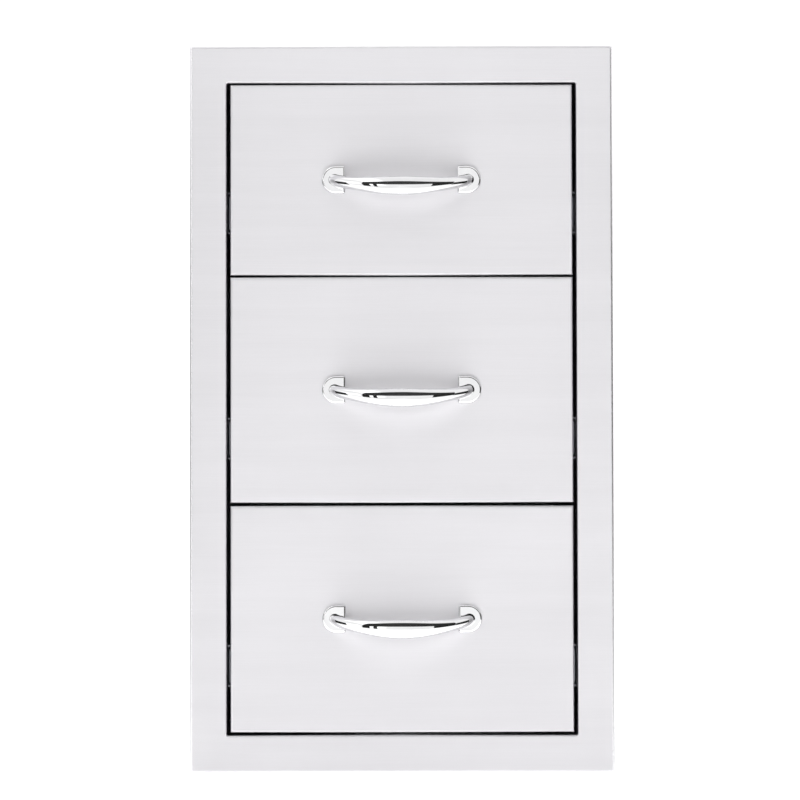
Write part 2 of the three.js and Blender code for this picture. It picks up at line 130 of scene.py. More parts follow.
# Outlines


def arc(centre: Pair, radius: float, start: float, end: float, steps: int) -> list[Pair]:
    """Points along an arc, both ends included.

    Args:
        centre: The arc's centre.
        radius: Its radius.
        start: The first point's angle in degrees.
        end: The last point's angle in degrees.
        steps: How many chords it has.

    Returns:
        The points, one more than the chords.
    """
    angles = [math.radians(start + (end - start) * i / steps) for i in range(steps + 1)]
    return [(centre[0] + radius * math.cos(a), centre[1] + radius * math.sin(a)) for a in angles]


def turns(sides: int) -> list[float]:
    """The angles in radians of a round outline's points."""
    return [TAU * s / sides for s in range(sides)]


def rounded(corners: Sequence[Pair], radius: float | Sequence[float], steps: int = 6) -> list[Pair]:
    """A path with each corner between its ends rounded.

    Args:
        corners: The path's corners.
        radius: The radius of every round, or of each in turn.
        steps: How many chords a round has.

    Returns:
        The rounded path.
    """
    points = [Vector(corner) for corner in corners]
    radii = [radius] * len(points) if isinstance(radius, float) else radius
    path = [tuple(points[0])]
    for before, here, after, bend in zip(points, points[1:], points[2:], radii):
        back = (before - here).normalized()
        ahead = (after - here).normalized()
        half_turn = back.angle(ahead) / 2
        centre = here + (back + ahead).normalized() * (bend / math.sin(half_turn))
        reach = bend / math.tan(half_turn)
        first, last = here + back * reach - centre, here + ahead * reach - centre
        sweep = math.atan2(first.x * last.y - first.y * last.x, first.dot(last))
        start = math.degrees(math.atan2(first.y, first.x))
        path += arc(tuple(centre), bend, start, start + math.degrees(sweep), steps)
    return [*path, tuple(points[-1])]


def sheet_outline(path: Sequence[Pair], thickness: float) -> list[Pair]:
    """The outline of a bent sheet whose middle surface follows a path.

    Args:
        path: The middle surface's path.
        thickness: The sheet's thickness.

    Returns:
        A closed outline, out along one side and back along the other.
    """
    points = [Vector(point) for point in path]
    normals = []
    for first, last in zip(points, points[1:]):
        along = (last - first).normalized()
        normals.append(Vector((-along.y, along.x)))
    offsets = []
    for before, after in zip([normals[0], *normals], [*normals, normals[-1]]):
        miter = (before + after).normalized()
        offsets.append(miter * (thickness / 2 / miter.dot(after)))
    out = [tuple(point + offset) for point, offset in zip(points, offsets)]
    back = [tuple(point - offset) for point, offset in zip(points, offsets)]
    return out + back[::-1]


def mirrored_down(path: Sequence[Pair]) -> list[Pair]:
    """A path and its mirror image below the first axis, joined into one."""
    return [*path, *[(a, -b) for a, b in reversed(path)]]


def rectangle(half_width: float, half_length: float, radius: float, steps: int) -> list[Pair]:
    """A rectangle's outline about the origin.

    Args:
        half_width: Half its first size.
        half_length: Half its second size.
        radius: The radius of its corners, or 0 for sharp ones.
        steps: How many chords a round corner has.

    Returns:
        The outline's points.
    """
    points = []
    for quarter, (a, b) in enumerate([(1, 1), (-1, 1), (-1, -1), (1, -1)]):
        if radius > 0:
            centre = (a * (half_width - radius), b * (half_length - radius))
            points += arc(centre, radius, 90 * quarter, 90 * (quarter + 1), steps)
        else:
            points.append((a * half_width, b * half_length))
    return points


def round_hole(centre: Pair, radius: float, sides: int = 24) -> list[Pair]:
    """The outline of a round hole."""
    return [(centre[0] + radius * math.cos(t), centre[1] + radius * math.sin(t)) for t in turns(sides)]


def slot_hole(centre: Pair, radius: float, length: float, steps: int = 12) -> list[Pair]:
    """The outline of a slot that is long on its first axis.

    Args:
        centre: The slot's middle.
        radius: Half its width.
        length: Its length over its round ends.
        steps: How many chords a round end has.

    Returns:
        The outline's points.
    """
    reach = length / 2 - radius
    outline = arc((reach, 0), radius, -90, 90, steps) + arc((-reach, 0), radius, 90, 270, steps)
    return [(centre[0] + a, centre[1] + b) for a, b in outline]


# Meshes


class Form:
    """The points and faces of a piece while it is being made."""

    def __init__(self) -> None:
        """Starts with nothing."""
        self.points: list[Vector] = []
        self.faces: list[tuple[int, ...]] = []

    def loft(self, rings: Sequence[Sequence[Vector]], capped: bool = True) -> "Form":
        """Joins rings of as many points each into a skin.

        Args:
            rings: The rings, in order.
            capped: Whether the end rings are filled. Otherwise the last ring joins the first.

        Returns:
            This form.
        """
        base, sides = len(self.points), len(rings[0])
        self.points += [Vector(point) for ring in rings for point in ring]
        joints = len(rings) - 1 if capped else len(rings)
        for r in range(joints):
            here, there = base + r * sides, base + (r + 1) % len(rings) * sides
            for s in range(sides):
                t = (s + 1) % sides
                self.faces.append((here + s, here + t, there + t, there + s))
        if capped:
            last = base + (len(rings) - 1) * sides
            self.faces.append(tuple(range(base + sides - 1, base - 1, -1)))
            self.faces.append(tuple(range(last, last + sides)))
        return self

    def along_x(self, outline: Sequence[Pair], span: Sequence[float]) -> "Form":
        """Adds an outline of Y and Z pairs, drawn out from one X to another."""
        return self.loft([[Vector((x, y, z)) for y, z in outline] for x in span])

    def along_y(self, outline: Sequence[Pair], span: Sequence[float]) -> "Form":
        """Adds an outline of X and Z pairs, drawn out from one Y to another."""
        return self.loft([[Vector((x, y, z)) for x, z in outline] for y in span])

    def lathe(self, profile: Sequence[Pair], sides: int, base: Vector) -> "Form":
        """Turns a profile about an axis along Y.

        Args:
            profile: Pairs of radius and Y, with the first and the last off the axis.
            sides: How many sides the turned piece has.
            base: Where the profile's origin goes.

        Returns:
            This form.
        """
        rings = []
        for radius, y in profile:
            ring = [Vector((radius * math.cos(t), y, radius * math.sin(t))) for t in turns(sides)]
            rings.append([base + point for point in ring])
        return self.loft(rings)

    def ball(self, centre: Vector, radius: float, sides: int = 16) -> "Form":
        """Adds a ball.

        Args:
            centre: Its centre.
            radius: Its radius.
            sides: How many sides its equator has.

        Returns:
            This form.
        """
        bands = sides // 2
        angles = [math.pi * band / bands for band in range(1, bands)]
        profile = [(radius * math.sin(a), radius * math.cos(a)) for a in angles]
        return self.lathe(profile, sides, centre)

    def moved(self, shift: Vector) -> "Form":
        """Moves all its points."""
        self.points = [point + shift for point in self.points]
        return self

    def mesh(self, name: str) -> bpy.types.Mesh:
        """Makes the mesh, with its faces turned out and smooth up to the sharp angle.

        Args:
            name: The mesh's name.

        Returns:
            The mesh.
        """
        mesh = bpy.data.meshes.new(name)
        mesh.from_pydata([tuple(point) for point in self.points], [], self.faces)
        work = bmesh.new()
        work.from_mesh(mesh)
        bmesh.ops.remove_doubles(work, verts=work.verts, dist=WELD_GAP)
        bmesh.ops.recalc_face_normals(work, faces=work.faces)
        work.to_mesh(mesh)
        work.free()
        mesh.shade_smooth()
        mesh.set_sharp_from_angle(angle=SHARP_EDGE)
        return mesh


def folded_rectangle(
    outline: Sequence[Pair],
    half_width: float,
    half_length: float,
    capped: bool = True,
    upright: bool = False,
    corner: Callable[[float], float] = lambda inset: 0.0,
    corner_steps: int = 8,
) -> Form:
    """A rectangle of folded sheet, about the origin.

    Args:
        outline: Pairs of inset from the rectangle's edge and level along Y, or along Z where it is upright.
        half_width: Half the rectangle's width along X.
        half_length: Half its size along Z, or along Y where it is upright.
        capped: Whether it is a pan. Otherwise it is an open frame.
        upright: Whether its levels run up.
        corner: The corner radius at an inset.
        corner_steps: How many chords a round corner has.

    Returns:
        The form.
    """
    rings = []
    for inset, level in outline:
        corners = rectangle(half_width - inset, half_length - inset, corner(inset), corner_steps)
        rings.append([Vector((p, q, level) if upright else (p, level, q)) for p, q in corners])
    return Form().loft(rings, capped)


def drilled(mesh: bpy.types.Mesh, drill: Form) -> bpy.types.Mesh:
    """A mesh with another form cut out of it.

    Args:
        mesh: The mesh to cut.
        drill: What is cut out.

    Returns:
        The cut mesh.
    """
    body = bpy.data.objects.new("body_to_cut", mesh)
    tool = bpy.data.objects.new("drill", drill.mesh("drill"))
    for part in (body, tool):
        bpy.context.scene.collection.objects.link(part)
    cut = body.modifiers.new("cut", "BOOLEAN")
    cut.object = tool
    cut.operation = "DIFFERENCE"
    cut.solver = "EXACT"
    graph = bpy.context.evaluated_depsgraph_get()
    result = bpy.data.meshes.new_from_object(body.evaluated_get(graph))
    result.name = mesh.name
    for part in (body, tool):
        bpy.data.objects.remove(part)
    result.set_sharp_from_angle(angle=SHARP_EDGE)
    return result


# Shader trees


class Value:
    """A number socket that Python's operators turn into Math nodes."""

    def __init__(self, shader: "Shader", socket: bpy.types.NodeSocket) -> None:
        """Wraps an output socket of a tree."""
        self.shader = shader
        self.socket = socket

    def maths(
        self, operation: str, first: "Value | float", second: "Value | float | None" = None
    ) -> "Value":
        """Adds a Math node.

        Args:
            operation: The node's operation.
            first: Its first value.
            second: Its second value, where it has one.

        Returns:
            The node's result.
        """
        inputs = {0: first} if second is None else {0: first, 1: second}
        made = self.shader.node("ShaderNodeMath", {"operation": operation}, inputs)
        return Value(self.shader, made.outputs[0])

    def __add__(self, other: "Value | float") -> "Value":
        """This value plus another."""
        return self.maths("ADD", self, other)

    __radd__ = __add__

    def __sub__(self, other: "Value | float") -> "Value":
        """This value less another."""
        return self.maths("SUBTRACT", self, other)

    def __rsub__(self, other: float) -> "Value":
        """A number less this value."""
        return self.maths("SUBTRACT", other, self)

    def __mul__(self, other: "Value | float") -> "Value":
        """This value times another."""
        return self.maths("MULTIPLY", self, other)

    __rmul__ = __mul__

    def __neg__(self) -> "Value":
        """This value with its sign turned."""
        return 0.0 - self

    def __abs__(self) -> "Value":
        """This value without its sign."""
        return self.maths("ABSOLUTE", self)

    def swing(self, most: float) -> "Value":
        """Noise about 0.5, turned into a change either way that spans this much over its whole range."""
        return (self - 0.5) * most

    def mixed(self, other: "Value", share: float) -> "Value":
        """This value's share and, for the rest, another's."""
        return self * share + other * (1.0 - share)

    def rise(self, low: float, high: float) -> "Value":
        """A smooth step from 0 to 1.

        Args:
            low: Where the step starts.
            high: Where it ends.

        Returns:
            The step's value.
        """
        inputs = {"Value": self, "From Min": low, "From Max": high}
        made = self.shader.node("ShaderNodeMapRange", {"interpolation_type": "SMOOTHSTEP"}, inputs)
        return Value(self.shader, made.outputs[0])

    def between(self, start: Pair, end: Pair) -> "Value":
        """A band of 1 between a smooth step up over the start and one down over the end."""
        return self.rise(*start) * (1.0 - self.rise(*end))


class Shader:
    """The node tree of a material or of the world."""

    def __init__(self, tree: bpy.types.NodeTree) -> None:
        """Starts with an empty tree."""
        self.tree = tree
        tree.nodes.clear()

    def node(self, kind: str, settings: dict | None = None, inputs: dict | None = None) -> bpy.types.Node:
        """Adds a node.

        Args:
            kind: The node's type.
            settings: Its properties, such as a Math node's operation, set first.
            inputs: The values or links of its sockets.

        Returns:
            The node.
        """
        made = self.tree.nodes.new(kind)
        for name, value in (settings or {}).items():
            setattr(made, name, value)
        for name, value in (inputs or {}).items():
            socket = made.inputs[name]
            if isinstance(value, Value):
                self.tree.links.new(value.socket, socket)
            elif isinstance(value, bpy.types.NodeSocket):
                self.tree.links.new(value, socket)
            else:
                socket.default_value = value
        return made

    def coordinates(self, output: str = "Object") -> bpy.types.NodeSocket:
        """The texture coordinates of a kind."""
        return self.node("ShaderNodeTexCoord").outputs[output]

    def stretched(self, scale: Sequence[float]) -> bpy.types.NodeSocket:
        """Object coordinates times a scale on each axis."""
        inputs = {0: self.coordinates(), 1: tuple(scale)}
        return self.node("ShaderNodeVectorMath", {"operation": "MULTIPLY"}, inputs).outputs[0]

    def axes(self, output: str = "Object") -> list[Value]:
        """The X, Y and Z of texture coordinates of a kind."""
        parts = self.node("ShaderNodeSeparateXYZ", inputs={0: self.coordinates(output)})
        return [Value(self, socket) for socket in parts.outputs]

    def noise(self, cells: float | Sequence[float], detail: float = 4.0, roughness: float = 0.5) -> Value:
        """Noise over stretched object coordinates.

        Args:
            cells: Cells per metre, the same every way or one number for each axis.
            detail: How many finer layers it has.
            roughness: How strong the finer layers are.

        Returns:
            The noise, about 0.5.
        """
        scale = [cells] * 3 if isinstance(cells, float) else cells
        inputs = {"Vector": self.stretched(scale), "Scale": 1.0, "Detail": detail, "Roughness": roughness}
        made = self.node("ShaderNodeTexNoise", {"noise_dimensions": "3D"}, inputs)
        return Value(self, made.outputs[0])

    def blend(self, factor: Value, first: Colour, second: Colour) -> bpy.types.NodeSocket:
        """A colour between two, the first where the factor is 0 and the second where it is 1."""
        inputs = {MIX_FACTOR: factor, MIX_FIRST: (*first, 1.0), MIX_SECOND: (*second, 1.0)}
        return self.node("ShaderNodeMix", {"data_type": "RGBA"}, inputs).outputs[MIX_COLOUR]

    def bump(self, height: Value, depth: float) -> bpy.types.NodeSocket:
        """A normal from a height of 0 to 1, where 1 is as high as the depth in metres."""
        inputs = {"Height": height, "Distance": depth, "Strength": 1.0}
        return self.node("ShaderNodeBump", inputs=inputs).outputs[0]


def surface(name: str, dress: Callable[[Shader], dict]) -> bpy.types.Material:
    """A material with one Principled shader.

    Args:
        name: The material's name.
        dress: Gives the shader's socket values and links, by name.

    Returns:
        The material.
    """
    material = bpy.data.materials.new(name)
    material.use_nodes = True
    shader = Shader(material.node_tree)
    principled = shader.node("ShaderNodeBsdfPrincipled", inputs=dress(shader))
    shader.node("ShaderNodeOutputMaterial", inputs={"Surface": principled.outputs[0]})
    return material


# Finishes


@dataclass(frozen=True)
class Finish:
    """A named finish. Each kind says how it dresses the shader."""

    name: str

    def dress(self, shader: Shader) -> dict:
        """Gives the values and links of the Principled shader's sockets."""
        raise NotImplementedError

    def material(self) -> bpy.types.Material:
        """Makes the material."""
        return surface(self.name, self.dress)


@dataclass(frozen=True)
class BrushedSteel(Finish):
    """Satin stainless sheet with its brushing in one direction.

    Where fold_from is set, the sheet is smoother beyond that X, where its sides are folded.
    """

    grain: Grain = Grain.ACROSS
    dark: Colour = (0.83, 0.821, 0.842)
    light: Colour = (0.88, 0.871, 0.894)
    tone_ends: Pair = (0.25, 0.75)
    roughness: float = 0.55
    anisotropy: float = 0.9
    anisotropy_turn: float = 0.25
    line_length: float = 70 * MM
    line_width: float = 0.45 * MM
    line_depth: float = 0.004 * MM
    line_share: float = 0.55
    line_gloss: float = 0.16
    band_cells: Pair = (3.0, 45.0)
    handling_cells: float = 9.0
    handling_gloss: float = 0.05
    fold_from: float = 0.0
    fold_ends: Pair = (0.2 * MM, 0.8 * MM)
    fold_polish: float = 0.3

    def dress(self, shader: Shader) -> dict:
        """Gives the sockets of the Principled shader.

        Args:
            shader: The material's tree.

        Returns:
            The values and links by socket name.
        """
        fine = self.grain.cells(1 / self.line_length, 1 / self.line_width)
        lines = shader.noise(fine, detail=3.0, roughness=0.65)
        bands = shader.noise(self.grain.cells(*self.band_cells), detail=2.0)
        handling = shader.noise(self.handling_cells, detail=5.0, roughness=0.6)
        tone = lines.mixed(bands, self.line_share).rise(*self.tone_ends)
        rough = self.roughness + lines.swing(self.line_gloss) + handling.swing(self.handling_gloss)
        if self.fold_from:
            across = abs(shader.axes()[0])
            start, end = (self.fold_from + reach for reach in self.fold_ends)
            rough = rough - across.rise(start, end) * self.fold_polish
        return {
            "Base Color": shader.blend(tone, self.dark, self.light),
            "Metallic": 1.0,
            "Roughness": rough,
            "Anisotropic": self.anisotropy,
            "Anisotropic Rotation": self.anisotropy_turn,
            "Normal": shader.bump(lines, self.line_depth),
        }


@dataclass(frozen=True)
class MillSteel(Finish):
    """Plain rolled stainless sheet, a little uneven, with faint rolling lines."""

    grain: Grain = Grain.INWARD
    # The steel's own tone, lifted a little as painted light against the shade inside the drawers.
    dark: Colour = (0.6, 0.6, 0.615)
    light: Colour = (0.7, 0.7, 0.71)
    tone_ends: Pair = (0.25, 0.75)
    roughness: float = 0.42
    line_cells: Pair = (12.0, 900.0)
    line_depth: float = 0.003 * MM
    line_share: float = 0.6
    line_gloss: float = 0.1
    cloud_cells: float = 14.0
    cloud_gloss: float = 0.12

    def dress(self, shader: Shader) -> dict:
        """Gives the sockets of the Principled shader.

        Args:
            shader: The material's tree.

        Returns:
            The values and links by socket name.
        """
        lines = shader.noise(self.grain.cells(*self.line_cells), detail=3.0, roughness=0.6)
        clouds = shader.noise(self.cloud_cells, detail=5.0, roughness=0.55)
        tone = lines.mixed(clouds, self.line_share).rise(*self.tone_ends)
        return {
            "Base Color": shader.blend(tone, self.dark, self.light),
            "Metallic": 1.0,
            "Roughness": self.roughness + clouds.swing(self.cloud_gloss) + lines.swing(self.line_gloss),
            "Normal": shader.bump(lines, self.line_depth),
        }


@dataclass(frozen=True)
class Plating(Finish):
    """Bright metal plating, from mirror chrome to plain zinc."""

    dark: Colour
    light: Colour
    roughness: float
    haze: float
    ripple: float = 0.0
    tone_ends: Pair = (0.3, 0.7)
    cloud_cells: float = 40.0
    cloud_share: float = 0.7
    speck_cells: float = 700.0

    def dress(self, shader: Shader) -> dict:
        """Gives the sockets of the Principled shader.

        Args:
            shader: The material's tree.

        Returns:
            The values and links by socket name.
        """
        clouds = shader.noise(self.cloud_cells, detail=4.0, roughness=0.6)
        specks = shader.noise(self.speck_cells, detail=2.0)
        return {
            "Base Color": shader.blend(clouds.rise(*self.tone_ends), self.dark, self.light),
            "Metallic": 1.0,
            "Roughness": self.roughness + clouds.swing(self.haze),
            "Normal": shader.bump(clouds.mixed(specks, self.cloud_share), self.ripple),
        }


@dataclass(frozen=True)
class MouldedRubber(Finish):
    """Black rubber with a fine moulded skin and a little dust."""

    colour: Colour = (0.022, 0.022, 0.024)
    dusty: float = 2.2
    dust_cells: float = 60.0
    dust_ends: Pair = (0.45, 0.8)
    dust_gloss: float = 0.2
    roughness: float = 0.62
    skin_cells: float = 1500.0
    skin_depth: float = 0.05 * MM

    def dress(self, shader: Shader) -> dict:
        """Gives the sockets of the Principled shader.

        Args:
            shader: The material's tree.

        Returns:
            The values and links by socket name.
        """
        skin = shader.noise(self.skin_cells, detail=3.0)
        dust = shader.noise(self.dust_cells, detail=4.0)
        paler = tuple(self.dusty * part for part in self.colour)
        return {
            "Base Color": shader.blend(dust.rise(*self.dust_ends), self.colour, paler),
            "Roughness": self.roughness + dust.swing(self.dust_gloss),
            "Normal": shader.bump(skin, self.skin_depth),
        }


@dataclass(frozen=True)
class Cloth(Finish):
    """Plain matt felt or paper, which may glow as painted light by a share that changes from place to place.
    """

    dark: Colour
    light: Colour
    cells: float
    roughness: float = 0.9
    light_strength: float = 0.0
    share: Callable[[Shader], Value] | None = None

    def dress(self, shader: Shader) -> dict:
        """Gives the sockets of the Principled shader.

        Args:
            shader: The material's tree.

        Returns:
            The values and links by socket name.
        """
        clouds = shader.noise(self.cells, detail=3.0)
        sockets = {"Base Color": shader.blend(clouds, self.dark, self.light), "Roughness": self.roughness}
        if self.share is not None:
            sockets["Emission Color"] = shader.blend(self.share(shader), (0.0, 0.0, 0.0), (1.0, 1.0, 1.0))
            sockets["Emission Strength"] = self.light_strength
        return sockets


class Finishes:
    """Every material of the unit, each made once."""

    def __init__(self) -> None:
        """Makes the materials."""
        self.brushed = BrushedSteel("satin_steel").material()
        # The middle bend is the one at the flange's outer edge.
        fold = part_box("face_frame")[1].x - FaceFrame.bends[1]
        self.frame = BrushedSteel("frame_steel", fold_from=fold).material()
        # The liners keep the lighter default tone, painted light against the shade inside the drawers; the
        # panels and the rear take darker greys.
        self.liner = MillSteel("liner_steel").material()
        self.front_liner = MillSteel("front_liner_steel", Grain.ACROSS).material()
        greys = {"dark": (0.50, 0.50, 0.515), "light": (0.62, 0.62, 0.63)}
        self.panel = MillSteel("panel_steel", Grain.INWARD, **greys).material()
        self.rear = MillSteel("rear_steel", Grain.UPRIGHT, **greys).material()
        self.chrome = Plating(
            "polished_chrome", dark=(0.76, 0.76, 0.77), light=(0.80, 0.80, 0.805), roughness=0.03, haze=0.02
        ).material()
        self.screw = Plating(
            "screw_steel",
            dark=(0.58, 0.58, 0.60),
            light=(0.72, 0.72, 0.73),
            roughness=0.28,
            haze=0.1,
            ripple=0.01 * MM,
        ).material()
        self.zinc = Plating(
            "zinc_plate",
            dark=(0.44, 0.46, 0.50),
            light=(0.57, 0.59, 0.62),
            roughness=0.46,
            haze=0.12,
            ripple=0.02 * MM,
        ).material()
        self.strip = Plating(
            "cage_strip",
            dark=(0.40, 0.41, 0.43),
            light=(0.52, 0.53, 0.55),
            roughness=0.34,
            haze=0.14,
            ripple=0.02 * MM,
        ).material()
        self.ball = Plating(
            "bearing_ball", dark=(0.70, 0.70, 0.72), light=(0.78, 0.78, 0.79), roughness=0.08, haze=0.04
        ).material()
        self.rubber = MouldedRubber("stop_rubber").material()


# Pieces


@dataclass(frozen=True)
class Workshop:
    """Puts finished pieces into the scene."""

    finishes: Finishes

    def place(
        self,
        name: str,
        mesh: bpy.types.Mesh,
        material: bpy.types.Material,
        body: str,
        slot: Slot,
        stands_for: Sequence[str] = (),
        at: Vector | None = None,
    ) -> bpy.types.Object:
        """slot: The record's material slot; not used.
            stands_for: The CAD nodes that it replaces.
            at: Where its origin goes, if not at the frame's.

        Returns:
            The piece.
        """
        piece = bpy.data.objects.new(name, mesh)
        bpy.context.scene.collection.objects.link(piece)
        if at is not None:
            piece.location = at
        if not mesh.materials:
            mesh.materials.append(material)
        level = piece.modifiers.new("level_normals", "WEIGHTED_NORMAL")
        level.keep_sharp = True
        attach(piece, body)
        if stands_for:
            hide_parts(*stands_for)
        log.info("%s: %d faces on %s", name, len(mesh.polygons), body)
        return piece


@dataclass
class FaceFrame:
    """The flange round the opening, with its turned-in outer lip and the return that lines the opening."""

    shop: Workshop
    sheet: float = 1.2 * MM
    lip: float = 9 * MM
    bends: tuple[float, ...] = (2 * MM, 3 * MM, 2 * MM)
    flange: float = 37.6 * MM
    outer_corner: float = 1 * MM
    inner_corner: float = 1.5 * MM
    least_corner: float = 0.3 * MM

    def corner(self, inset: float) -> float:
        """The corner radius at an inset from the flange's edge.

        Args:
            inset: The inset.

        Returns:
            The radius, of the opening's corner or of the flange's.
        """
        if inset > self.flange / 2:
            return self.inner_corner + self.flange - inset
        return max(self.outer_corner - inset, self.least_corner)

    def build(self) -> None:
        """Makes the frame."""
        low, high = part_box("face_frame")
        size = (high - low) / 2
        middle = self.sheet / 2
        face, inner = low.y + middle, self.flange - middle
        corners = [(self.lip, -middle), (middle, -middle), (middle, face), (inner, face)]
        path = rounded([*corners, (inner, high.y)], [bend - middle for bend in self.bends])
        outline = sheet_outline(path, self.sheet)
        form = folded_rectangle(outline, size.x, size.z, capped=False, corner=self.corner)
        mesh = form.mesh("face_frame_sheet")
        finish = self.shop.finishes.frame
        self.shop.place("face_frame_sheet", mesh, finish, "box", Slot.BRUSHED, ["face_frame"])


@dataclass
class Carcass:
    """The folded box behind the wall."""

    shop: Workshop
    sheet: float = 1 * MM
    bend: float = 1.6 * MM
    overrun: float = 4 * MM
    lid_flange: float = 14 * MM
    hole_radius: float = 2.8 * MM
    hole_inset: float = 30 * MM
    hole_shares: tuple[float, ...] = (0.9, 0.27, -0.45, -0.93)
    notch: float = 16.3 * MM
    notch_side: float = 178.1 * MM
    rear_edge: float = 0.15 * MM

    def build(self) -> None:
        """Makes the five panels."""
        for side in Side:
            self.side_panel(side)
        for name, sign in (("top_panel", 1), ("bottom_panel", -1)):
            self.lid(name, sign)
        self.rear_panel()

    def finish_panel(self, node: str, mesh: bpy.types.Mesh) -> None:
        """Puts a panel in place of its CAD node.

        Args:
            node: The CAD node's name.
            mesh: The panel's mesh.
        """
        finishes = self.shop.finishes
        finish = finishes.rear if node == "rear_panel" else finishes.panel
        self.shop.place(f"{node}_sheet", mesh, finish, "box", Slot.PLAIN, [node])

    def side_panel(self, side: Side) -> None:
        """Makes a side with its rear edge turned in.

        Args:
            side: Which side it is.
        """
        node = f"{side.word}_side_panel"
        low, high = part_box(node)
        wall = side.value * max(abs(low.x), abs(high.x))
        tip = side.value * min(abs(low.x), abs(high.x))
        middle = wall - side.value * self.sheet / 2
        rear = high.y - self.sheet / 2
        path = rounded([(middle, low.y), (middle, rear), (tip, rear)], self.bend - self.sheet / 2)
        outline = sheet_outline(path, self.sheet)
        form = Form().loft([[Vector((x, y, z)) for x, y in outline] for z in (low.z, high.z)])
        drill = Form()
        reach = high.z - self.sheet
        for share in self.hole_shares:
            hole = round_hole((self.hole_inset, share * reach), self.hole_radius)
            drill.along_x(hole, (wall - self.overrun, wall + self.overrun))
        self.finish_panel(node, drilled(form.mesh(node), drill))

    def lid(self, node: str, sign: int) -> None:
        """Makes the top or the bottom, a channel notched at the front.

        Args:
            node: The CAD node's name.
            sign: 1 for the top and -1 for the bottom.
        """
        low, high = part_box(node)
        level = max(abs(low.z), abs(high.z)) - self.sheet / 2
        edge = high.x - self.sheet / 2
        foot = level - self.lid_flange
        corners = [(-edge, foot), (-edge, level), (edge, level), (edge, foot)]
        path = rounded(corners, self.bend - self.sheet / 2)
        outline = [(x, sign * z) for x, z in sheet_outline(path, self.sheet)]
        mesh = Form().along_y(outline, (low.y, high.y)).mesh(node)
        drill = Form()
        tall = sorted((sign * (foot - self.overrun), sign * (level + self.overrun)))
        for hand in (-1, 1):
            across = sorted((hand * self.notch_side, hand * (edge + self.overrun)))
            corners = [*((x, tall[0]) for x in across), *((x, tall[1]) for x in reversed(across))]
            drill.along_y(corners, (low.y - self.overrun, self.notch))
        self.finish_panel(node, drilled(mesh, drill))

    def rear_panel(self) -> None:
        """Makes the flat rear panel."""
        low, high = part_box("rear_panel")
        size = (high - low) / 2
        edge = self.rear_edge
        outline = [(edge, low.y), (0.0, low.y + edge), (0.0, high.y - edge), (edge, high.y)]
        form = folded_rectangle(outline, size.x, size.z)
        self.finish_panel("rear_panel", form.mesh("rear_panel"))


@dataclass
class DrawerFront:
    """A double-wall drawer front: the outer skin and the liner that closes it."""

    shop: Workshop
    level: Level
    sheet: float = 1 * MM
    edge_bend: float = 3 * MM
    bend: float = 2 * MM
    lip: float = 9 * MM

    def build(self) -> None:
        """Makes the skin and the liner."""
        finishes = self.shop.finishes
        for kind, finish, slot in (
            ("front_skin", finishes.brushed, Slot.BRUSHED),
            ("front_liner", finishes.front_liner, Slot.PLAIN),
        ):
            node = self.level.named(kind)
            low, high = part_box(node)
            middle = self.sheet / 2
            near, far = low.y + middle, high.y - middle
            corners = [(self.lip, near), (middle, near), (middle, high.y)]
            bends = [self.bend - middle]
            if kind == "front_skin":
                corners[2:] = [(middle, far), (self.lip, far)]
                bends = [self.edge_bend - middle, self.bend - middle]
            outline = sheet_outline(rounded(corners, bends), self.sheet)
            size, centre = (high - low) / 2, (low + high) / 2
            form = folded_rectangle(outline, size.x, size.z).moved(Vector((centre.x, 0, centre.z)))
            body = self.level.named("drawer")
            self.shop.place(f"{node}_sheet", form.mesh(node), finish, body, slot, [node])


@dataclass
class Tray:
    """The open tray behind a front, with its rim hemmed inwards."""

    shop: Workshop
    level: Level
    sheet: float = 0.9 * MM
    bend: float = 2 * MM
    floor_inset: float = 6 * MM
    hem_radius: float = 1.4 * MM
    hem_drop: float = 7 * MM

    def build(self) -> None:
        """Makes the tray."""
        node = self.level.named("tray")
        low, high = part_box(node)
        middle = self.sheet / 2
        rim = high.z - self.hem_radius - middle
        floor = low.z + middle
        wall = rounded([(self.floor_inset, floor), (middle, floor), (middle, rim)], self.bend - middle)
        hem = arc((middle + self.hem_radius, rim), self.hem_radius, 180, 0, steps=10)
        end = (middle + 2 * self.hem_radius, rim - self.hem_drop)
        outline = sheet_outline([*wall[:-1], *hem, end], self.sheet)
        size, centre = (high - low) / 2, (low + high) / 2
        form = folded_rectangle(outline, size.x, size.y, upright=True)
        mesh = form.moved(Vector((centre.x, centre.y, 0))).mesh(node)
        body = self.level.named("drawer")
        self.shop.place(f"{node}_sheet", mesh, self.shop.finishes.liner, body, Slot.PLAIN, [node])


